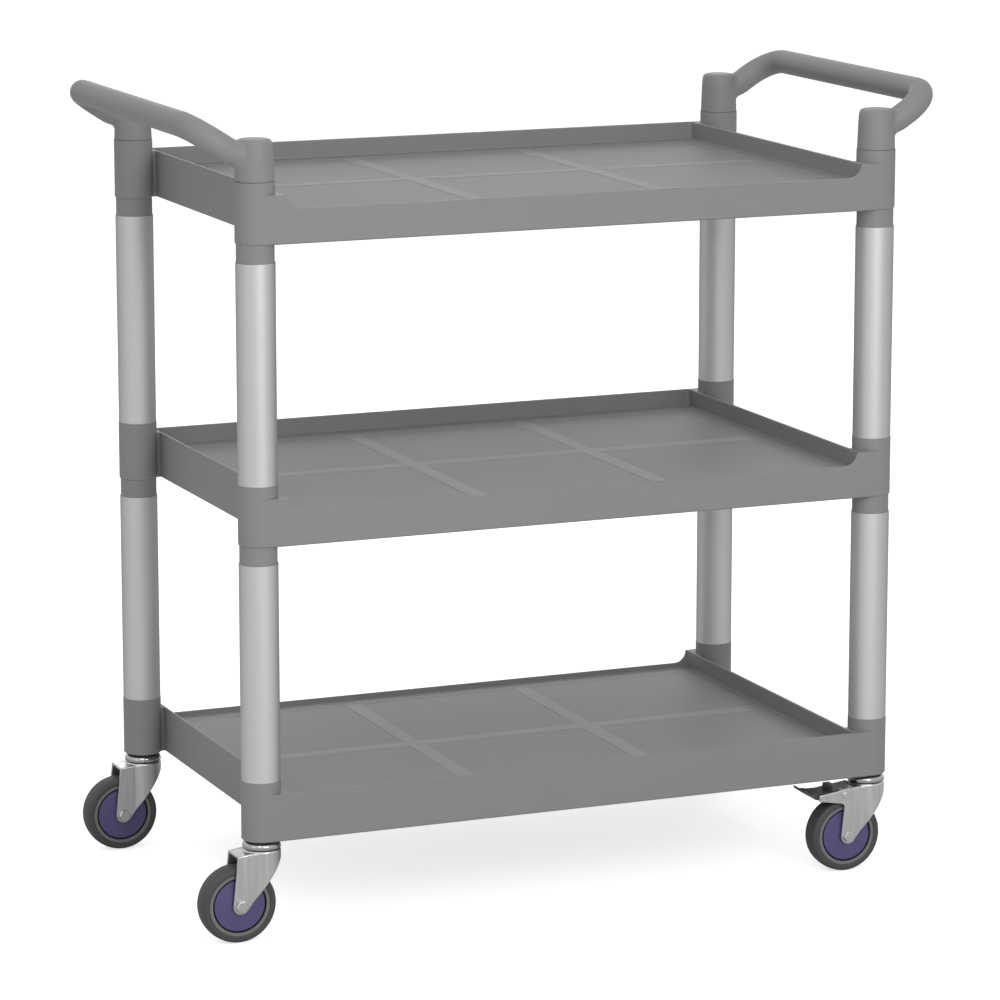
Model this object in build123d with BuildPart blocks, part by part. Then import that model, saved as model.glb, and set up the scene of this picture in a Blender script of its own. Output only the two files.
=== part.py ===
# Three-shelf service trolley: moulded shelves on aluminium post tubes, two bow handles, four swivel casters.
# Millimetres. +Z is up, +X runs along the length, and the origin is on the floor under the middle.
# The top and middle shelves have their low edge at -Y, which is the front. All casters trail towards -X.
import os
from math import asin, cos, degrees, radians, sqrt, tan

from build123d import *

# Posts: aluminium tubes that slide over plastic spigots
post_spacing_x = 772
post_spacing_y = 428
tube_diameter = 45
tube_wall = 2
tube_length = 251
spigot_height = 30
spigot_wall = 2.4
spigot_lead = 1.5
spigot_fit = 0.05

# Shelf moulding, measured up from the foot of its columns
column_step = 0.8
floor_height = 34
floor_thickness = 3
lip_rise = 5.5
tray_depth = 21
column_rise = 14.5
wall = 3
end_wall_gap = 2.6
corner_web = 8
lip_start = 1
tray_corner = 3.5
floor_fillet = 1
rim_round = 0.9
foot_chamfer = 1.3
panel_depth = 0.35
panel_border = 27
panel_band = 20
panel_corner = 3
rib_thickness = 2.5
rib_depth = 17
ribs_long = 4
ribs_cross = 7

# Post connector: plug in the shelf above, collar in view, spigot in the tube below
neck_step = 0.9
neck_height = 21
plug_height = 45
plug_fit = 0.05
connector_wall = 3

# Bow handle
leg_step = 0.2
leg_height = 47.5
leg_taper = 1.6
leg_seam = 0.7
leg_socket_clearance = 1
bar_diameter = 29
bar_reach = 72
bar_rise = 62.5
arm_root_height = 30
arm_bend = 38
arm_blend = 8

# Caster wheel
wheel_diameter = 90
wheel_width = 26
tread_crown = 1.6
tread_shoulder = 4.5
tyre_depth = 9
tyre_toe = 1
seat_depth = 3
rim_inset = 1
rim_flange = 2.5
rim_ring = 3.6
rim_step = 2.2
seat_rib = 1.5
groove_depth = 6
web_half = 3
web_slope = 1
hub_radius = 9
hub_proud = 1
disc_thickness = 2
disc_gap = 0.4
disc_groove = 2.2
disc_dome = 0.8

# Axle
axle_diameter = 8
axle_fit = 0.05
bush_wall = 1.2
hex_flats = 13
hex_height = 5
hex_chamfer = 0.7

# Fork, king pin and raceway
caster_trail = 31
wheel_gap = 13
fork_sheet = 2.5
fork_side_gap = 2
fork_overhang = 3
fork_nose_lip = 3.2
fork_flare = 16
roof_slope = 7.5
roof_ridge = 20
crown_rise = 2.4
crown_round = 3
fork_eye_radius = 9.5
fork_brow = 6
fork_fold = 1.6
race_radius = 18.8
race_height = 4
race_chamfer = 1
king_pin_radius = 6
king_pin_fit = 0.05
king_head_radius = 9
king_head_height = 3
king_head_gap = 0.4
cap_gap = 0.7
cap_sheet = 2.5
cap_foot_gap = 1.1
cap_skirt = 1.5
cap_height = 7
cap_hollow = 4
collar_radius = 10
collar_height = 5.5
stem_length = 38
stem_chamfer = 1.5

# Brake on the two casters at the right-hand end, measured from the back of the roof and from the pivot
brake_arm_reach = 36.5
brake_arm_tip = 7.5
brake_arm_root = 21
brake_arm_corner = 1.5
brake_arm_fillet = 5
brake_roof_gap = 1.5
pivot_back = 1
pivot_drop = 9.5
brake_pin_radius = 3
brake_pin_head = 4.5
brake_pin_head_height = 1.5
brake_pin_round = 0.9
brake_pin_fit = 0.05
pedal_side_gap = 1.5
pedal_hub_radius = 5
pedal_reach = 55
pedal_tip_rise = 11
pedal_tip_thickness = 3
pedal_flat_rise = 5
pedal_step_back = 8
pedal_step_length = 8
pedal_step_rise = 10.5
pedal_step_slope = 1
pedal_shoe_back = 15
pedal_shoe_drop = 5.2
paddle_width = 36
paddle_gap = 3
paddle_slope = 8
paddle_corner = 6
paddle_root_drop = 3

# Places that follow from the sizes above
half_x = post_spacing_x / 2
half_y = post_spacing_y / 2
spigot_radius = tube_diameter / 2 - tube_wall - spigot_fit
column_radius = (tube_diameter + column_step) / 2
bore_radius = spigot_radius - spigot_wall
rim_height = floor_height + tray_depth
column_height = rim_height + column_rise
face_y = half_y + column_radius
end_x = half_x - column_radius - end_wall_gap
tray_length = 2 * (end_x - wall)
tray_width = 2 * (face_y - wall)
wheel_radius = wheel_diameter / 2
fork_under = wheel_diameter + wheel_gap
fork_top = fork_under + fork_sheet
fork_inside = wheel_width / 2 + fork_side_gap
fork_outside = fork_inside + fork_sheet
collar_base = fork_top + race_height + cap_height - cap_hollow
underside = collar_base + collar_height
shelf_pitch = column_height + tube_length + neck_height
handle_seam = underside + 2 * shelf_pitch + column_height
axle_x = -caster_trail
fork_back = caster_trail + fork_overhang
fork_nose_radius = race_radius + fork_nose_lip
pivot_x = -fork_back - pivot_back
pivot_z = fork_top - pivot_drop

shelves = {"bottom": 0, "middle": 1, "top": 2}
corners = {
    "front_left": (-half_x, -half_y),
    "front_right": (half_x, -half_y),
    "back_left": (-half_x, half_y),
    "back_right": (half_x, half_y),
}
braked = ("front_right", "back_right")

os.makedirs("parts", exist_ok=True)


def place(stock, label, *locations):
    """Sets finished pieces in the trolley and writes them as one node."""
    with BuildPart() as placed:
        with Locations(*locations):
            add(stock.part)
    placed.part.label = label
    export_step(placed.part, f"parts/{label}.step")


# Shelf: one injection moulding with a tray, a skirt, corner columns and spigots
with BuildPart() as shelf:
    with BuildSketch():
        with BuildLine():
            web_y = half_y - corner_web
            Line((0, face_y), (half_x, face_y))
            turn = 270 - degrees(asin(corner_web / column_radius))
            corner = CenterArc((half_x, half_y), column_radius, 90, -turn)
            Line(corner @ 1, (end_x, web_y))
            Line((end_x, web_y), (end_x, 0))
            mirror(about=Plane.YZ)
            mirror(about=Plane.XZ)
        make_face()
    extrude(amount=rim_height)
    chamfer(shelf.faces().sort_by(Axis.Z)[0].outer_wire().edges(), foot_chamfer)

    # Columns rise past the rim and end in spigots
    with BuildSketch(Plane.XY.offset(rim_height)):
        with GridLocations(post_spacing_x, post_spacing_y, 2, 2):
            Circle(column_radius)
    extrude(amount=column_rise)
    with BuildSketch(Plane.XY.offset(column_height)):
        with GridLocations(post_spacing_x, post_spacing_y, 2, 2):
            Circle(spigot_radius)
    extrude(amount=spigot_height)
    chamfer(shelf.faces().sort_by(Axis.Z)[-4:].edges(), spigot_lead)

    # Tray with a rounded foot to its walls and a softened rim
    with BuildSketch(Plane.XY.offset(floor_height)):
        RectangleRounded(tray_length, tray_width, tray_corner)
    extrude(amount=tray_depth, mode=Mode.SUBTRACT)
    tray_floor = shelf.faces().filter_by_position(Axis.Z, floor_height, floor_height)
    fillet(tray_floor.edges(), floor_fillet)
    rim = shelf.faces().filter_by_position(Axis.Z, rim_height, rim_height)[0]
    fillet(rim.inner_wires()[0].edges(), rim_round)

    # Low edge on one long side, swept up to the corners in a quarter round
    notch_half = end_x - wall - lip_start
    sweep_up = tray_depth - lip_rise
    lip_z = floor_height + lip_rise
    with BuildSketch(Plane.XZ.offset(face_y)):
        with BuildLine():
            Line((sweep_up - notch_half, lip_z), (notch_half - sweep_up, lip_z))
            CenterArc((notch_half - sweep_up, rim_height), sweep_up, -90, 90)
            Line((notch_half, rim_height), (-notch_half, rim_height))
            CenterArc((sweep_up - notch_half, rim_height), sweep_up, 180, 90)
        make_face()
    extrude(amount=-2 * wall, mode=Mode.SUBTRACT)
    lip_edges = shelf.edges(Select.LAST).filter_by_position(Axis.Y, -face_y, -face_y)
    fillet(lip_edges.filter_by_position(Axis.Z, lip_z, rim_height - rim_round), rim_round)

    # Six shallow panels in the floor
    panel_x = (tray_length - 2 * panel_border - 2 * panel_band) / 3
    panel_y = (tray_width - 2 * panel_border - panel_band) / 2
    with BuildSketch(Plane.XY.offset(floor_height)):
        with GridLocations(panel_x + panel_band, panel_y + panel_band, 3, 2):
            RectangleRounded(panel_x, panel_y, panel_corner)
    extrude(amount=-panel_depth, mode=Mode.SUBTRACT)

    # Hollow underside, stiffened by a grid of ribs
    with BuildSketch():
        Rectangle(tray_length, tray_width)
    extrude(amount=floor_height - floor_thickness, mode=Mode.SUBTRACT)
    with BuildSketch(Plane.XY.offset(floor_height - floor_thickness - rib_depth)):
        with GridLocations(0, tray_width / (ribs_long + 1), 1, ribs_long):
            Rectangle(tray_length, rib_thickness)
        with GridLocations(tray_length / (ribs_cross + 1), 0, ribs_cross, 1):
            Rectangle(rib_thickness, tray_width)
    extrude(amount=rib_depth)

    # Bores up through the columns, for the connectors and the caster plugs
    with BuildSketch():
        with GridLocations(post_spacing_x, post_spacing_y, 2, 2):
            Circle(bore_radius)
    extrude(amount=column_height + spigot_height, mode=Mode.SUBTRACT)

for level, count in shelves.items():
    turn_round = 180 if level == "bottom" else 0
    place(shelf, f"shelf_{level}", Location((0, 0, underside + count * shelf_pitch), (0, 0, turn_round)))

# Post tube: extruded aluminium, cut square
with BuildPart() as post_tube:
    with BuildSketch():
        Circle(tube_diameter / 2)
        Circle(tube_diameter / 2 - tube_wall, mode=Mode.SUBTRACT)
    extrude(amount=tube_length)

# Post connector: hollow plug with a collar, turned about the post axis
with BuildPart() as connector:
    plug_radius = bore_radius - plug_fit
    neck_radius = tube_diameter / 2 - neck_step
    inner_radius = plug_radius - connector_wall
    spigot_end = -neck_height - spigot_height
    with BuildSketch(Plane.XZ):
        with BuildLine():
            Polyline(
                (inner_radius, spigot_end),
                (spigot_radius - spigot_lead, spigot_end),
                (spigot_radius, spigot_end + spigot_lead),
                (spigot_radius, -neck_height),
                (neck_radius, -neck_height),
                (neck_radius, 0),
                (plug_radius, 0),
                (plug_radius, plug_height - spigot_lead),
                (plug_radius - spigot_lead, plug_height),
                (inner_radius, plug_height),
                close=True,
            )
        make_face()
    revolve(axis=Axis.Z)

for tier, count in {"lower": 0, "upper": 1}.items():
    tube_foot = underside + count * shelf_pitch + column_height
    for name, (x, y) in corners.items():
        place(post_tube, f"post_tube_{tier}_{name}", (x, y, tube_foot))
        place(connector, f"connector_{tier}_{name}", (x, y, tube_foot + tube_length + neck_height))

# Bow handle: two hollow legs joined by a round bar that reaches out past the end of the trolley. Wall and top
# of a leg are one smooth curve, so that the arm's blend crosses no edge.
with BuildPart() as handle:
    leg_radius = tube_diameter / 2 - leg_step
    for side in (-1, 1):
        with BuildSketch(Plane.XZ.offset(-side * half_y)):
            with BuildLine():
                Polyline((0, leg_height), (0, 0), (leg_radius - leg_seam, 0), (leg_radius, leg_seam))
                shoulder = (leg_radius - leg_taper, leg_height)
                Bezier((leg_radius, leg_seam), shoulder, shoulder, shoulder, (0, leg_height))
            make_face()
        revolve(axis=Axis((0, side * half_y, 0), (0, 0, 1)))
    with BuildLine() as bow:
        FilletPolyline(
            (0, half_y, arm_root_height),
            (leg_radius, half_y, arm_root_height),
            (bar_reach, half_y, bar_rise),
            (bar_reach, -half_y, bar_rise),
            (leg_radius, -half_y, arm_root_height),
            (0, -half_y, arm_root_height),
            radius=arm_bend,
        )
    with BuildSketch(Plane(bow.line @ 0, z_dir=bow.line % 0)):
        Circle(bar_diameter / 2)
    sweep()
    fillet(handle.edges(Select.LAST).filter_by(lambda e: e.center().X > 0), arm_blend)
    with BuildSketch():
        with GridLocations(0, post_spacing_y, 1, 2):
            Circle(spigot_radius + spigot_fit)
    extrude(amount=spigot_height + leg_socket_clearance, mode=Mode.SUBTRACT)

place(handle, "handle_right", (half_x, 0, handle_seam))
place(handle, "handle_left", Location((-half_x, 0, handle_seam), (0, 0, 180)))

# Caster plug: fills the foot of a bottom column and takes the caster's stem
with BuildPart() as caster_plug:
    with BuildSketch():
        Circle(bore_radius - plug_fit)
        Circle(king_pin_radius + plug_fit, mode=Mode.SUBTRACT)
    extrude(amount=plug_height)

# Caster stem: collar and stem above, king pin with a spread head below, turned in one piece
with BuildPart() as caster_stem:
    head_top = fork_under - king_head_gap
    stem_top = underside + stem_length
    with BuildSketch(Plane.XZ):
        with BuildLine():
            Polyline(
                (0, head_top - king_head_height),
                (king_head_radius, head_top - king_head_height),
                (king_head_radius, head_top),
                (king_pin_radius, head_top),
                (king_pin_radius, collar_base),
                (collar_radius, collar_base),
                (collar_radius, underside),
                (king_pin_radius, underside),
                (king_pin_radius, stem_top - stem_chamfer),
                (king_pin_radius - stem_chamfer, stem_top),
                (0, stem_top),
                close=True,
            )
        make_face()
    revolve(axis=Axis.Z)

floor_spots = [(x, y, 0) for x, y in corners.values()]
place(caster_plug, "caster_plugs", *[(x, y, underside) for x, y in corners.values()])
place(caster_stem, "caster_stems", *floor_spots)

# Raceway cap: pressed steel ring that covers the swivel race
with BuildPart() as raceway_cap:
    skirt_radius = race_radius + cap_gap
    cap_radius = skirt_radius + cap_sheet
    cap_foot = fork_top + crown_rise + cap_foot_gap
    cap_top = fork_top + race_height + cap_height
    plate_under = collar_base - cap_sheet
    crown_radius = (collar_radius + cap_radius) / 2
    with BuildSketch(Plane.XZ):
        with BuildLine():
            Polyline(
                (skirt_radius, cap_foot + cap_skirt),
                (skirt_radius, cap_foot),
                (cap_radius, cap_foot),
                (cap_radius, cap_foot + cap_skirt),
            )
            crown = ThreePointArc(
                (cap_radius, cap_foot + cap_skirt),
                (crown_radius, cap_top),
                (collar_radius + cap_gap, collar_base),
            )
            Polyline(
                crown @ 1,
                (king_pin_radius + king_pin_fit, collar_base),
                (king_pin_radius + king_pin_fit, plate_under),
                (collar_radius + cap_sheet, plate_under),
                (crown_radius, cap_top - cap_sheet),
                (skirt_radius, cap_foot + cap_skirt),
            )
        make_face()
    revolve(axis=Axis.Z)


def fork_plan(half_width, nose_radius, back):
    """Plan of the fork's channel: parallel sides that flare into a round nose."""
    with BuildSketch() as plan:
        with BuildLine():
            nose_x = -fork_flare / 2
            nose_y = sqrt(nose_radius**2 - nose_x**2)
            side = Polyline((-back, 0), (-back, half_width), (-fork_flare, half_width), (nose_x, nose_y))
            RadiusArc(side @ 1, (nose_radius, 0), nose_radius)
            mirror(about=Plane.XZ)
        make_face()
    return plan.sketch


def fork_block(half_width, nose_radius, back, roof_z):
    """Block with the fork's plan, from the axle eyes up to a roof that falls away behind its ridge."""
    low = wheel_radius - fork_eye_radius
    with BuildPart() as block:
        with BuildSketch(Plane.XY.offset(low)):
            add(fork_plan(half_width, nose_radius, back))
        extrude(amount=roof_z - low)
        with BuildSketch(Plane.XZ):
            with BuildLine():
                Polyline(
                    (-roof_ridge, roof_z),
                    (-back, roof_z),
                    (-back, roof_z - (back - roof_ridge) * tan(radians(roof_slope))),
                    close=True,
                )
            make_face()
        extrude(amount=nose_radius, both=True, mode=Mode.SUBTRACT)
    return block


def make_fork(with_brake):
    """Pressed steel fork: roof, two legs and a raised race, with arms for a pedal if it has a brake."""
    back = fork_back + brake_arm_reach if with_brake else caster_trail + 2 * fork_eye_radius
    outside = fork_block(fork_outside, fork_nose_radius, back, fork_top)
    inside = fork_block(fork_inside, fork_nose_radius - fork_sheet, back + fork_sheet, fork_under)
    with BuildPart() as fork:
        add(outside.part)
        roof = fork.faces().filter_by(lambda f: f.normal_at().Z > cos(radians(2 * roof_slope)))
        fillet(roof.edges().filter_by(lambda e: abs(e.center().Y) > fork_fold), fork_fold)
        add(inside.part, mode=Mode.SUBTRACT)

        # Side view of a leg: a hull from the roof's length down to the axle eye
        with BuildSketch(Plane.XZ) as side_view:
            with Locations(((fork_nose_radius - fork_back) / 2, fork_top - fork_brow / 2)):
                Rectangle(fork_nose_radius + fork_back, fork_brow)
            with Locations((axle_x, wheel_radius)):
                Circle(fork_eye_radius)
            make_hull()
            if with_brake:
                arm_top = fork_top - (back - roof_ridge) * tan(radians(roof_slope))
                with BuildLine():
                    FilletPolyline(
                        (-back, arm_top),
                        (-roof_ridge, fork_top),
                        (-roof_ridge, fork_top - brake_arm_root),
                        (axle_x, fork_top - brake_arm_root),
                        (-back, arm_top - brake_arm_tip),
                        radius=brake_arm_corner,
                        close=True,
                    )
                make_face()
                armpit = side_view.vertices().sort_by_distance((-fork_back, fork_top - brake_arm_root))[0]
                fillet(armpit, brake_arm_fillet)
        extrude(amount=2 * fork_nose_radius, both=True, mode=Mode.INTERSECT)
        if with_brake:
            roof_end = race_radius + brake_roof_gap
            with BuildSketch(Plane.XY.offset(wheel_diameter)):
                with Locations((-(roof_end + back) / 2, 0)):
                    Rectangle(back - roof_end, 2 * fork_inside)
            extrude(amount=fork_top - wheel_diameter, mode=Mode.SUBTRACT)

        # Race for the swivel, king pin hole and axle holes
        with BuildSketch(Plane.XZ):
            with BuildLine():
                crown_top = fork_top + crown_rise
                crown = Polyline(
                    (0, fork_under),
                    (fork_nose_radius, fork_under),
                    (fork_nose_radius, crown_top - crown_round),
                )
                RadiusArc(crown @ 1, (fork_nose_radius - crown_round, crown_top), -crown_round)
                Polyline(
                    (fork_nose_radius - crown_round, crown_top),
                    (race_radius, crown_top),
                    (race_radius, fork_top + race_height - race_chamfer),
                    (race_radius - race_chamfer, fork_top + race_height),
                    (0, fork_top + race_height),
                    (0, fork_under),
                )
            make_face()
        revolve(axis=Axis.Z)
        with BuildSketch(Plane.XY.offset(fork_under)):
            Circle(king_pin_radius + king_pin_fit)
        extrude(amount=fork_sheet + race_height, mode=Mode.SUBTRACT)
        with BuildSketch(Plane.XZ):
            with Locations((axle_x, wheel_radius)):
                Circle(axle_diameter / 2 + axle_fit)
            if with_brake:
                with Locations((pivot_x, pivot_z)):
                    Circle(brake_pin_radius + brake_pin_fit)
        extrude(amount=2 * fork_nose_radius, both=True, mode=Mode.SUBTRACT)
    return fork


plain_fork = make_fork(with_brake=False)
brake_fork = make_fork(with_brake=True)

# Axle bolt with its hexagon head at the front of the fork, and its nut at the back
with BuildPart() as axle_bolt:
    with BuildSketch(Plane.XZ.offset(fork_outside)):
        RegularPolygon(hex_flats / 2, 6, major_radius=False)
    extrude(amount=hex_height)
    chamfer(axle_bolt.faces().sort_by(Axis.Y)[0].edges(), hex_chamfer)
    with BuildSketch(Plane.XZ.offset(fork_outside)):
        Circle(axle_diameter / 2)
    extrude(amount=-2 * fork_outside - hex_height)
with BuildPart() as axle_nut:
    with BuildSketch(Plane.XZ.offset(-fork_outside)):
        RegularPolygon(hex_flats / 2, 6, major_radius=False)
    extrude(amount=-hex_height)
    chamfer(axle_nut.faces().sort_by(Axis.Y)[-1].edges(), hex_chamfer)
    with BuildSketch(Plane.XZ.offset(-fork_outside)):
        Circle(axle_diameter / 2 + axle_fit)
    extrude(amount=-hex_height, mode=Mode.SUBTRACT)

# Bush on the axle between the fork's legs; the wheel turns on it
bush_radius = axle_diameter / 2 + axle_fit + bush_wall
with BuildPart() as axle_bush:
    with BuildSketch(Plane.XZ):
        Circle(bush_radius)
        Circle(axle_diameter / 2 + axle_fit, mode=Mode.SUBTRACT)
    extrude(amount=fork_inside, both=True)

# Wheel, turned about its axle: tyre, core with a channel rim, and a disc over each side of the core
flange_radius = wheel_radius - tyre_depth
seat_radius = flange_radius - seat_depth
rim_half = wheel_width / 2 - rim_inset
seat_half = rim_half - rim_flange
disc_seat = rim_half - rim_step
disc_pocket = flange_radius - rim_ring
rib_radius = disc_pocket - disc_groove
with BuildPart() as tyre:
    with BuildSketch(Plane.XY) as tyre_profile:
        shoulder_x = wheel_radius - tread_crown
        with BuildLine():
            Polyline(
                (seat_radius, 0),
                (seat_radius, seat_half),
                (flange_radius, seat_half),
                (flange_radius, rim_half),
                (flange_radius + tyre_toe, wheel_width / 2),
                (shoulder_x, wheel_width / 2),
            )
            TangentArc((wheel_radius, 0), (shoulder_x, wheel_width / 2), tangent=(0, 1))
            mirror(about=Plane.XZ)
        make_face()
        shoulders = tyre_profile.vertices().filter_by_position(Axis.X, shoulder_x, shoulder_x)
        fillet(shoulders, tread_shoulder)
    revolve(axis=Axis.Y)
with BuildPart() as wheel_core:
    with BuildSketch(Plane.XY):
        with BuildLine():
            Polyline(
                (bush_radius + axle_fit, 0),
                (bush_radius + axle_fit, wheel_width / 2 + hub_proud),
                (hub_radius, wheel_width / 2 + hub_proud),
                (hub_radius, disc_seat),
                (hub_radius + web_slope, web_half),
                (rib_radius - seat_rib - web_slope, web_half),
                (rib_radius - seat_rib, disc_seat),
                (rib_radius, disc_seat),
                (rib_radius, rim_half - groove_depth),
                (disc_pocket, rim_half - groove_depth),
                (disc_pocket, rim_half),
                (flange_radius, rim_half),
                (flange_radius, seat_half),
                (seat_radius, seat_half),
                (seat_radius, 0),
            )
            mirror(about=Plane.XZ)
        make_face()
    revolve(axis=Axis.Y)
with BuildPart() as hub_discs:
    with BuildSketch(Plane.XY):
        with BuildLine():
            Polyline(
                (hub_radius + disc_gap, disc_seat),
                (rib_radius, disc_seat),
                (rib_radius, disc_seat + disc_thickness - disc_dome),
                (hub_radius + disc_gap, disc_seat + disc_thickness + disc_dome),
                close=True,
            )
        make_face()
    revolve(axis=Axis.Y)
    mirror(about=Plane.XZ)

# Brake pedal: moulded rocker on a rivet between the fork's arms, with a paddle for the toe behind them
with BuildPart() as brake_pedal:
    arms_end = -fork_back - brake_arm_reach
    paddle_tip = pivot_x - pedal_reach
    paddle_root = arms_end - paddle_gap
    flat_z = pivot_z + pedal_flat_rise
    step_front = pivot_x - pedal_step_back
    step_back = step_front - pedal_step_length
    step_z = pivot_z + pedal_step_rise
    tip_z = pivot_z + pedal_tip_rise
    with BuildSketch(Plane.XZ):
        with BuildLine():
            Polyline(
                (pivot_x, pivot_z - pedal_hub_radius),
                (pivot_x - pedal_shoe_back, pivot_z - pedal_shoe_drop),
                (paddle_root, pivot_z - paddle_root_drop),
                (paddle_tip, tip_z - pedal_tip_thickness),
                (paddle_tip, tip_z),
                (paddle_tip + paddle_slope, flat_z),
                (step_back - pedal_step_slope, flat_z),
                (step_back, step_z),
                (step_front, step_z),
                (step_front + pedal_step_slope, flat_z),
                (pivot_x, pivot_z + pedal_hub_radius),
                close=True,
            )
        make_face()
        with Locations((pivot_x, pivot_z)):
            Circle(pedal_hub_radius)
    extrude(amount=paddle_width / 2, both=True)
    with BuildSketch():
        with Locations(((paddle_tip + paddle_root) / 2, 0)):
            RectangleRounded(paddle_root - paddle_tip, paddle_width, paddle_corner)
        with Locations(((paddle_root + pivot_x) / 2, 0)):
            Rectangle(pivot_x - paddle_root + 2 * pedal_hub_radius, 2 * (fork_inside - pedal_side_gap))
    extrude(amount=underside, mode=Mode.INTERSECT)
    with BuildSketch(Plane.XZ):
        with Locations((pivot_x, pivot_z)):
            Circle(brake_pin_radius + brake_pin_fit)
    extrude(amount=paddle_width, both=True, mode=Mode.SUBTRACT)
with BuildPart() as brake_pin:
    with BuildSketch(Plane.XZ):
        with Locations((pivot_x, pivot_z)):
            Circle(brake_pin_radius)
    extrude(amount=fork_outside + brake_pin_head_height, both=True)
    for side in (-1, 1):
        with BuildSketch(Plane.XZ.offset(side * fork_outside)):
            with Locations((pivot_x, pivot_z)):
                Circle(brake_pin_head)
        extrude(amount=side * brake_pin_head_height)
    for head in (brake_pin.faces().sort_by(Axis.Y)[0], brake_pin.faces().sort_by(Axis.Y)[-1]):
        fillet(head.edges(), brake_pin_round)

for name, (x, y) in corners.items():
    on_floor = (x, y, 0)
    at_axle = (x + axle_x, y, wheel_radius)
    place(raceway_cap, f"raceway_cap_{name}", on_floor)
    place(brake_fork if name in braked else plain_fork, f"fork_{name}", on_floor)
    place(axle_bolt, f"axle_bolt_{name}", at_axle)
    place(axle_nut, f"axle_nut_{name}", at_axle)
    place(axle_bush, f"axle_bush_{name}", at_axle)
    place(tyre, f"tyre_{name}", at_axle)
    place(wheel_core, f"wheel_core_{name}", at_axle)
    place(hub_discs, f"hub_discs_{name}", at_axle)
    if name in braked:
        place(brake_pedal, f"brake_pedal_{name}", on_floor)
        place(brake_pin, f"brake_pin_{name}", on_floor)
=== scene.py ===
from math import radians

import bpy
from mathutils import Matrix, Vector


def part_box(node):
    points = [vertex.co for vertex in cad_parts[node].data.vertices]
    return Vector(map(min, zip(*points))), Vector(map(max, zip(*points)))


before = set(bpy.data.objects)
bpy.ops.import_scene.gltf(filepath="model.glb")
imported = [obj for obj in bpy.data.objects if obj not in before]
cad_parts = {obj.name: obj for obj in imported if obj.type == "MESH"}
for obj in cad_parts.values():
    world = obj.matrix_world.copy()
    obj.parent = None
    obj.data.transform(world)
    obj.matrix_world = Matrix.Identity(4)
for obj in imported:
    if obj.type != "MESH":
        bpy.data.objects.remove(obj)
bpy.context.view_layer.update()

# The camera stands in front of the trolley and to its left, a little above the handles,
# with a long lens, as the photograph was taken. It looks 11 degrees down.
eye = (-2.0618, -4.9082, 1.5070)
look_right, look_down = 22.77, 11.32
film_width, focal_length, far_limit = 36, 162.9, 100
bpy.ops.object.camera_add(location=eye, rotation=(radians(90 - look_down), 0, radians(-look_right)))
camera = bpy.context.object
camera.data.sensor_width = film_width
camera.data.lens = focal_length
camera.data.clip_end = far_limit
bpy.context.scene.camera = camera
bpy.context.scene.view_settings.view_transform = "Standard"

# The floor is a pale seamless studio sheet that fills the picture. To the camera it has a glow added
# that brings lit paper up to plain white, as in the photograph, and leaves a soft shadow.


def linear(hex_colour):
    """An sRGB hex colour as the linear RGBA that a shader takes."""
    channels = [int(hex_colour[i:i + 2], 16) / 255 for i in (1, 3, 5)]
    return [c / 12.92 if c <= 0.04045 else ((c + 0.055) / 1.055) ** 2.4 for c in channels] + [1]


def add_node(tree, kind, inputs=(), **settings):
    """Adds a node, sets it, and fills or links its inputs."""
    made = tree.nodes.new(kind)
    for name, value in settings.items():
        setattr(made, name, value)
    for name, value in dict(inputs).items():
        if isinstance(value, bpy.types.NodeSocket):
            tree.links.new(value, made.inputs[name])
        else:
            made.inputs[name].default_value = value
    return made


def new_material(name):
    """A new node material and its tree, which is empty."""
    material = bpy.data.materials.new(name)
    material.use_nodes = True
    material.node_tree.nodes.clear()
    return material, material.node_tree


floor_size = 80
paper_glow = 0.68
bpy.ops.object.select_all(action="DESELECT")
bpy.ops.mesh.primitive_plane_add(size=floor_size, location=(0, 0, 0))
floor = bpy.context.object
floor.name = "studio_floor"
paper, tree = new_material("studio_paper")
sheet = add_node(tree, "ShaderNodeBsdfDiffuse", {"Color": linear("#f4f4f4")})
path = add_node(tree, "ShaderNodeLightPath")
strength = add_node(
    tree, "ShaderNodeMapRange",
    {"Value": path.outputs["Is Camera Ray"], "To Min": 0, "To Max": paper_glow},
)
glow = add_node(tree, "ShaderNodeEmission", {"Color": linear("#ffffff"), "Strength": strength.outputs[0]})
lit = add_node(tree, "ShaderNodeAddShader", {0: sheet.outputs[0], 1: glow.outputs[0]})
add_node(tree, "ShaderNodeOutputMaterial", {"Surface": lit.outputs[0]})
floor.data.materials.append(paper)

# Studio light: soft boxes in front of the trolley, to its left, high between them, behind it and above it,
# in an even pale room that fills the shadows and shows as plain white behind the trolley and in the plating.
room_fill, room_white = 0.45, 1
world = bpy.context.scene.world or bpy.data.worlds.new("studio_room")
bpy.context.scene.world = world
world.use_nodes = True
tree = world.node_tree
tree.nodes.clear()
path = add_node(tree, "ShaderNodeLightPath")
seen = add_node(
    tree, "ShaderNodeMath",
    {0: path.outputs["Is Camera Ray"], 1: path.outputs["Is Glossy Ray"]}, operation="ADD",
)
seen_through = add_node(
    tree, "ShaderNodeMath", {0: seen.outputs[0], 1: path.outputs["Is Transmission Ray"]}, operation="ADD"
)
strength = add_node(
    tree, "ShaderNodeMapRange", {"Value": seen_through.outputs[0], "To Min": room_fill, "To Max": room_white}
)
room = add_node(tree, "ShaderNodeBackground", {"Color": linear("#ffffff"), "Strength": strength.outputs[0]})
add_node(tree, "ShaderNodeOutputWorld", {"Surface": room.outputs[0]})
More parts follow.
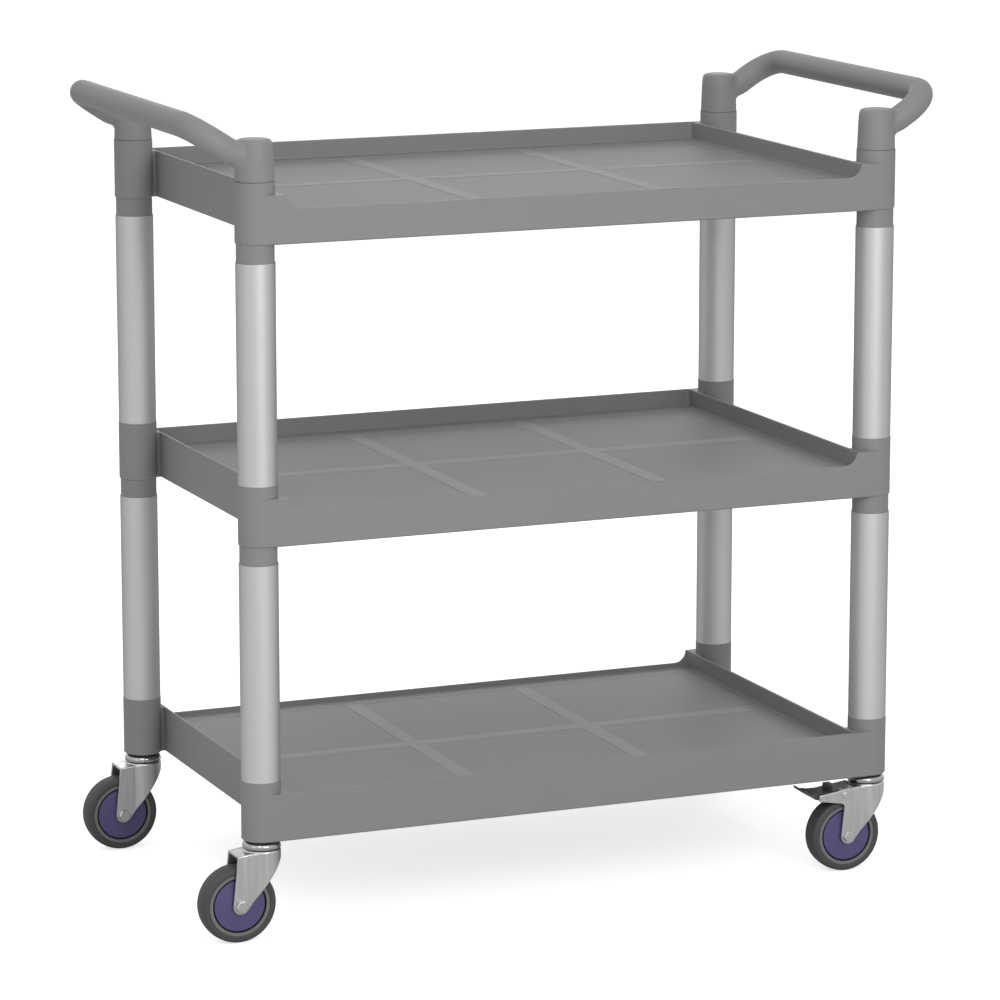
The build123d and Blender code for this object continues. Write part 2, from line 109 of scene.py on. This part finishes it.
for name, place, turn, size, watts in (
    ("front_soft_box", (0.0, -2.6, 1.5), (67.0, 0, 0), (1.3, 1.0), 22),
    ("left_soft_box", (-3.2, -1.4, 1.6), (72.5, 0, -66.4), (1.6, 2.0), 6),
    ("high_soft_box", (-1.8, -2.6, 2.9), (52.8, 0, -34.7), (1.5, 1.5), 17),
    ("back_soft_box", (1.5, 3.8, 1.6), (74.9, 0, 158.5), (3.0, 1.6), 20),
    ("top_soft_box", (0, 0, 3.5), (0, 0, 0), (3.0, 3.0), 15),
):
    bpy.ops.object.light_add(type="AREA", location=place, rotation=[radians(a) for a in turn])
    lamp = bpy.context.object
    lamp.name = name
    lamp.data.shape = "RECTANGLE"
    lamp.data.size, lamp.data.size_y = size
    lamp.data.energy = watts

# Shelves, handles, post connectors and caster plugs are injection moulded in one grey polypropylene and
# pushed together. The mould has a fine spark-eroded grain, and the colour has slight flow clouds.


def finish_nodes(material, *starts):
    """Gives a material to each CAD node whose name starts with one of these."""
    for name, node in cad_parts.items():
        if name.startswith(starts):
            node.data.materials.clear()
            node.data.materials.append(material)


moulded, tree = new_material("moulded_grey_polypropylene")
spot = add_node(tree, "ShaderNodeTexCoord")
cloud_size = 0.09
clouds = add_node(
    tree, "ShaderNodeTexNoise",
    {"Vector": spot.outputs["Object"], "Scale": 1 / cloud_size, "Detail": 3, "Roughness": 0.55},
)
# The real grain is about 0.3 mm. It is drawn at 1.1 mm so that it shows at this distance.
grain_size, grain_depth, grain_strength = 0.0011, 0.0002, 0.12
grain = add_node(
    tree, "ShaderNodeTexNoise",
    {"Vector": spot.outputs["Object"], "Scale": 1 / grain_size, "Detail": 2, "Roughness": 0.6},
)
# The shelf floors are rougher than the walls, and their colour is painted paler: painted light in place of
# what the shelf above shades off them. The bands between their sunk panels are painted paler still, as a
# painted sheen, and the steps at the panels' edges palest, as painted light on faces that lie in shade. They
# are found by their height above the foot of a shelf.
shelf_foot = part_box("shelf_bottom")[0].z
shelf_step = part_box("shelf_middle")[0].z - shelf_foot
top_foot = 2 * shelf_step
floor_height, panel_depth, sunk_share = 0.034, 0.00035, 0.9
panels_reach_x, panels_reach_y = 0.3306, 0.207
border_painted_light, panel_painted_light, band_painted_sheen, step_painted_light = 1.12, 1.1, 1.36, 1.9
axes = add_node(tree, "ShaderNodeSeparateXYZ", {0: spot.outputs["Object"]})
above_foot = add_node(tree, "ShaderNodeMath", {0: axes.outputs["Z"], 1: shelf_foot}, operation="SUBTRACT")
height = add_node(
    tree, "ShaderNodeMath", {0: above_foot.outputs[0], 1: shelf_step}, operation="FLOORED_MODULO"
)
at_floor = add_node(
    tree, "ShaderNodeMath",
    {0: height.outputs[0], 1: floor_height - panel_depth / 2, 2: panel_depth}, operation="COMPARE",
)
sunk = add_node(
    tree, "ShaderNodeMath",
    {0: height.outputs[0], 1: floor_height - sunk_share * panel_depth}, operation="LESS_THAN",
)
from_middle = add_node(tree, "ShaderNodeVectorMath", {0: spot.outputs["Object"]}, operation="ABSOLUTE")
away = add_node(tree, "ShaderNodeSeparateXYZ", {0: from_middle.outputs[0]})
within_x = add_node(tree, "ShaderNodeMath", {0: away.outputs["X"], 1: panels_reach_x}, operation="LESS_THAN")
within_y = add_node(tree, "ShaderNodeMath", {0: away.outputs["Y"], 1: panels_reach_y}, operation="LESS_THAN")
within = add_node(
    tree, "ShaderNodeMath", {0: within_x.outputs[0], 1: within_y.outputs[0]}, operation="MULTIPLY"
)
face = add_node(tree, "ShaderNodeNewGeometry")
facing = add_node(tree, "ShaderNodeSeparateXYZ", {0: face.outputs["True Normal"]})
tray_side = add_node(
    tree, "ShaderNodeMath", {0: facing.outputs["Z"], 1: within.outputs[0]}, operation="MAXIMUM"
)
on_floor = add_node(
    tree, "ShaderNodeMath", {0: at_floor.outputs[0], 1: tray_side.outputs[0]}, operation="MULTIPLY",
    use_clamp=True,
)
# Painted sheen on the flat bands and painted light on the steps between bands and panels, by which way a
# face looks
painted_floor_light_and_streaks = add_node(
    tree, "ShaderNodeMapRange", {"Value": facing.outputs["Z"], "To Min": step_painted_light, "To Max": band_painted_sheen}
)
panel_and_band_painted_light = add_node(
    tree, "ShaderNodeMix", {"Factor": sunk.outputs[0], "A": painted_floor_light_and_streaks.outputs[0], "B": panel_painted_light}
)
floor_painted_light = add_node(
    tree, "ShaderNodeMix", {"Factor": within.outputs[0], "A": border_painted_light, "B": panel_and_band_painted_light.outputs[0]}
)
# The top floor, lit more than the shaded floors below it, is painted darker: painted shade that evens out
# the floors
top_floor_painted_shade = 0.7
above_middle = add_node(
    tree, "ShaderNodeMath", {0: above_foot.outputs[0], 1: top_foot}, operation="GREATER_THAN"
)
top_floor_shading = add_node(
    tree, "ShaderNodeMapRange", {"Value": above_middle.outputs[0], "To Min": 1, "To Max": top_floor_painted_shade}
)
floor_painted_light_and_shade = add_node(
    tree, "ShaderNodeMath", {0: floor_painted_light.outputs[0], 1: top_floor_shading.outputs[0]}, operation="MULTIPLY"
)
painted_light_gain = add_node(tree, "ShaderNodeMix", {"Factor": on_floor.outputs[0], "A": 1, "B": floor_painted_light_and_shade.outputs[0]})
plain = add_node(
    tree, "ShaderNodeMix",
    {"Factor": clouds.outputs["Fac"], "A": linear("#848484"), "B": linear("#898989")}, data_type="RGBA",
)
tint = add_node(
    tree, "ShaderNodeVectorMath", {0: plain.outputs["Result"], "Scale": painted_light_gain.outputs[0]}, operation="SCALE"
)
wall_smoothest, wall_roughest, floor_extra = 0.5, 0.58, 0.07
walls = add_node(
    tree, "ShaderNodeMapRange",
    {"Value": grain.outputs["Fac"], "To Min": wall_smoothest, "To Max": wall_roughest},
)
roughness = add_node(
    tree, "ShaderNodeMath",
    {0: on_floor.outputs[0], 1: floor_extra, 2: walls.outputs[0]}, operation="MULTIPLY_ADD",
)
# The mould leaves no sharp edges: they are rounded by about half a millimetre
edge_round = 0.0005
edges = add_node(tree, "ShaderNodeBevel", {"Radius": edge_round}, samples=6)
pits = add_node(
    tree, "ShaderNodeBump",
    {
        "Height": grain.outputs["Fac"],
        "Strength": grain_strength,
        "Distance": grain_depth,
        "Normal": edges.outputs[0],
    },
)
skin = add_node(
    tree, "ShaderNodeBsdfPrincipled",
    {
        "Base Color": tint.outputs[0],
        "Roughness": roughness.outputs[0],
        "IOR": 1.49,
        "Normal": pits.outputs[0],
    },
)
add_node(tree, "ShaderNodeOutputMaterial", {"Surface": skin.outputs[0]})
finish_nodes(moulded, "shelf_", "handle_", "connector_", "caster_plugs")

# Post tubes are aluminium, extruded, cut square, satin anodised and pushed on to the spigots of shelves and
# connectors. The die leaves faint lines along the tube, which stretch the highlights a little, and the
# anodised layer dims the tube's sides.
anodised, tree = new_material("satin_anodised_aluminium")
spot = add_node(tree, "ShaderNodeTexCoord")
# Die lines are about 0.2 mm apart. They are drawn 0.9 mm apart so that they show.
line_width, line_length, line_depth, line_strength = 0.0009, 0.4, 0.0001, 0.06
along = add_node(
    tree, "ShaderNodeMapping",
    {"Vector": spot.outputs["Object"], "Scale": (1 / line_width, 1 / line_width, 1 / line_length)},
)
lines = add_node(tree, "ShaderNodeTexNoise", {"Vector": along.outputs[0], "Scale": 1, "Detail": 3})
tube_smoothest, tube_roughest = 0.46, 0.56
roughness = add_node(
    tree, "ShaderNodeMapRange",
    {"Value": lines.outputs["Fac"], "To Min": tube_smoothest, "To Max": tube_roughest},
)
grooves = add_node(
    tree, "ShaderNodeBump",
    {"Height": lines.outputs["Fac"], "Strength": line_strength, "Distance": line_depth},
)
metal = add_node(
    tree, "ShaderNodeBsdfPrincipled",
    {
        "Base Color": linear("#c8c8c9"),
        "Specular Tint": linear("#8c8c8c"),
        "Metallic": 1,
        "Roughness": roughness.outputs[0],
        "Normal": grooves.outputs[0],
    },
)
add_node(tree, "ShaderNodeOutputMaterial", {"Surface": metal.outputs[0]})
finish_nodes(anodised, "post_tube_")

# Forks are pressed from steel sheet, and plated with zinc once the pedal's rivet is in: a satin silver skin
# with the faint streaks that the press leaves down the legs. They swivel on the caster stems.
plated, tree = new_material("zinc_plated_pressing")
spot = add_node(tree, "ShaderNodeTexCoord")
streak_width, streak_length = 0.006, 0.09
down = add_node(
    tree, "ShaderNodeMapping",
    {"Vector": spot.outputs["Object"], "Scale": (1 / streak_width, 1 / streak_width, 1 / streak_length)},
)
streaks = add_node(tree, "ShaderNodeTexNoise", {"Vector": down.outputs[0], "Scale": 1, "Detail": 3})
streak_low, streak_high = 0.3, 0.7
painted_floor_light_and_streaks = add_node(
    tree, "ShaderNodeMapRange",
    {"Value": streaks.outputs["Fac"], "From Min": streak_low, "From Max": streak_high},
)
fork_roughest, fork_smoothest = 0.42, 0.3
roughness = add_node(
    tree, "ShaderNodeMapRange",
    {"Value": painted_floor_light_and_streaks.outputs[0], "To Min": fork_roughest, "To Max": fork_smoothest},
)
silver = add_node(
    tree, "ShaderNodeMix",
    {"Factor": painted_floor_light_and_streaks.outputs[0], "A": linear("#b2b2b2"), "B": linear("#c8c8c8")}, data_type="RGBA",
)
# The sheet bends round its corners, which catch the light
bend_round = 0.0014
edges = add_node(tree, "ShaderNodeBevel", {"Radius": bend_round}, samples=8)
# Inside the channel, round the tyre, the plating is painted dark as painted shade, the more so the more
# closed in it is
channel_width, channel_closed, channel_open = 0.03, 0.08, 0.4
open_sky = add_node(tree, "ShaderNodeAmbientOcclusion", {"Distance": channel_width}, samples=8)
open_to_light = add_node(
    tree, "ShaderNodeMapRange",
    {"Value": open_sky.outputs["AO"], "From Min": channel_closed, "From Max": channel_open},
)
# The dark grey here is painted shade in the closed-in parts of the channel
shade = add_node(
    tree, "ShaderNodeMix",
    {"Factor": open_to_light.outputs[0], "A": linear("#4a4a49"), "B": silver.outputs["Result"]}, data_type="RGBA",
)
metal = add_node(
    tree, "ShaderNodeBsdfPrincipled",
    {
        "Base Color": shade.outputs["Result"],
        "Metallic": 1,
        "Roughness": roughness.outputs[0],
        "Normal": edges.outputs[0],
    },
)
add_node(tree, "ShaderNodeOutputMaterial", {"Surface": metal.outputs[0]})
finish_nodes(plated, "fork_", "brake_pin_")

# Axle bolts, nuts and bushes and the caster stems are turned or headed from steel and bright zinc plated.
# The stems are pushed into the plugs, and each bolt clamps its fork on the bush that the wheel turns on.
# They are smoother than the pressings, so they flash at some edges and go dark at others.
fastener, tree = new_material("bright_zinc_fastener")
spot = add_node(tree, "ShaderNodeTexCoord")
swirl_size = 0.004
swirl = add_node(
    tree, "ShaderNodeTexNoise", {"Vector": spot.outputs["Object"], "Scale": 1 / swirl_size, "Detail": 3}
)
zinc_smoothest, zinc_roughest = 0.18, 0.3
roughness = add_node(
    tree, "ShaderNodeMapRange",
    {"Value": swirl.outputs["Fac"], "To Min": zinc_smoothest, "To Max": zinc_roughest},
)
edges = add_node(tree, "ShaderNodeBevel", {"Radius": edge_round}, samples=6)
metal = add_node(
    tree, "ShaderNodeBsdfPrincipled",
    {
        "Base Color": linear("#c0c0c0"),
        "Metallic": 1,
        "Roughness": roughness.outputs[0],
        "Normal": edges.outputs[0],
    },
)
add_node(tree, "ShaderNodeOutputMaterial", {"Surface": metal.outputs[0]})
finish_nodes(fastener, "axle_", "caster_stems")

# Raceway caps are round steel covers over the swivel bearings, drawn from sheet and held under the
# collars of the caster stems. They are bright plated, so they mirror the room.
bright, tree = new_material("bright_plated_steel")
spot = add_node(tree, "ShaderNodeTexCoord")
haze_size = 0.006
haze = add_node(
    tree, "ShaderNodeTexNoise", {"Vector": spot.outputs["Object"], "Scale": 1 / haze_size, "Detail": 3}
)
cap_smoothest, cap_roughest = 0.1, 0.18
roughness = add_node(
    tree, "ShaderNodeMapRange",
    {"Value": haze.outputs["Fac"], "To Min": cap_smoothest, "To Max": cap_roughest},
)
metal = add_node(
    tree, "ShaderNodeBsdfPrincipled",
    {"Base Color": linear("#a4a4a4"), "Metallic": 1, "Roughness": roughness.outputs[0]},
)
add_node(tree, "ShaderNodeOutputMaterial", {"Surface": metal.outputs[0]})
finish_nodes(bright, "raceway_cap_")

# Tyres are non-marking grey rubber, moulded round the wheel cores. The rubber is dull, with a fine
# dusty mottle.
rubber, tree = new_material("grey_tyre_rubber")
spot = add_node(tree, "ShaderNodeTexCoord")
dust_size = 0.003
dust = add_node(
    tree, "ShaderNodeTexNoise", {"Vector": spot.outputs["Object"], "Scale": 1 / dust_size, "Detail": 4}
)
shade = add_node(
    tree, "ShaderNodeMix",
    {"Factor": dust.outputs["Fac"], "A": linear("#3c3c3b"), "B": linear("#464645")}, data_type="RGBA",
)
tyre_smoothest, tyre_roughest = 0.55, 0.7
roughness = add_node(
    tree, "ShaderNodeMapRange",
    {"Value": dust.outputs["Fac"], "To Min": tyre_smoothest, "To Max": tyre_roughest},
)
skin = add_node(
    tree, "ShaderNodeBsdfPrincipled",
    {"Base Color": shade.outputs["Result"], "Roughness": roughness.outputs[0], "IOR": 1.52},
)
add_node(tree, "ShaderNodeOutputMaterial", {"Surface": skin.outputs[0]})
finish_nodes(rubber, "tyre_")

# Wheel cores are moulded in a grey nylon and turn on the axle bushes. They are a little paler than the
# tyres, and each shows as a ring round its disc.
nylon, tree = new_material("grey_wheel_nylon")
spot = add_node(tree, "ShaderNodeTexCoord")
mottle = add_node(
    tree, "ShaderNodeTexNoise", {"Vector": spot.outputs["Object"], "Scale": 1 / dust_size, "Detail": 3}
)
shade = add_node(
    tree, "ShaderNodeMix",
    {"Factor": mottle.outputs["Fac"], "A": linear("#6d6d6b"), "B": linear("#777774")}, data_type="RGBA",
)
# The deep groove round the disc is painted dark as painted shade, the more so the more closed in it is
groove_width, groove_closed, groove_open = 0.004, 0.25, 0.75
open_sky = add_node(tree, "ShaderNodeAmbientOcclusion", {"Distance": groove_width}, samples=8)
depth = add_node(
    tree, "ShaderNodeMapRange",
    {"Value": open_sky.outputs["AO"], "From Min": groove_closed, "From Max": groove_open},
)
# The near-black here is painted shade in the groove
groove_painted_shade = add_node(
    tree, "ShaderNodeMix",
    {"Factor": depth.outputs[0], "A": linear("#1c1a22"), "B": shade.outputs["Result"]}, data_type="RGBA",
)
skin = add_node(
    tree, "ShaderNodeBsdfPrincipled",
    {"Base Color": groove_painted_shade.outputs["Result"], "Roughness": 0.5, "IOR": 1.53},
)
add_node(tree, "ShaderNodeOutputMaterial", {"Surface": skin.outputs[0]})
finish_nodes(nylon, "wheel_core_")

# Hub discs are covers moulded in violet-blue ABS with a soft gloss. They snap into the hollow sides of
# the wheel cores.
violet, tree = new_material("violet_blue_abs")
spot = add_node(tree, "ShaderNodeTexCoord")
flow_size = 0.02
flow = add_node(
    tree, "ShaderNodeTexNoise", {"Vector": spot.outputs["Object"], "Scale": 1 / flow_size, "Detail": 3}
)
shade = add_node(
    tree, "ShaderNodeMix",
    {"Factor": flow.outputs["Fac"], "A": linear("#4a4573"), "B": linear("#534e7d")}, data_type="RGBA",
)
skin = add_node(
    tree, "ShaderNodeBsdfPrincipled",
    {"Base Color": shade.outputs["Result"], "Roughness": 0.38, "IOR": 1.54},
)
add_node(tree, "ShaderNodeOutputMaterial", {"Surface": skin.outputs[0]})
finish_nodes(violet, "hub_discs_")

# Brake pedals are rockers moulded in black nylon, which looks dark grey with its fine satin grain. Each
# turns on the rivet between the arms of its fork.
black, tree = new_material("black_pedal_nylon")
spot = add_node(tree, "ShaderNodeTexCoord")
grain = add_node(
    tree, "ShaderNodeTexNoise", {"Vector": spot.outputs["Object"], "Scale": 1 / grain_size, "Detail": 2}
)
pedal_smoothest, pedal_roughest = 0.4, 0.55
roughness = add_node(
    tree, "ShaderNodeMapRange",
    {"Value": grain.outputs["Fac"], "To Min": pedal_smoothest, "To Max": pedal_roughest},
)
skin = add_node(
    tree, "ShaderNodeBsdfPrincipled",
    {"Base Color": linear("#4a4a4b"), "Roughness": roughness.outputs[0], "IOR": 1.53},
)
add_node(tree, "ShaderNodeOutputMaterial", {"Surface": skin.outputs[0]})
finish_nodes(black, "brake_pedal_")
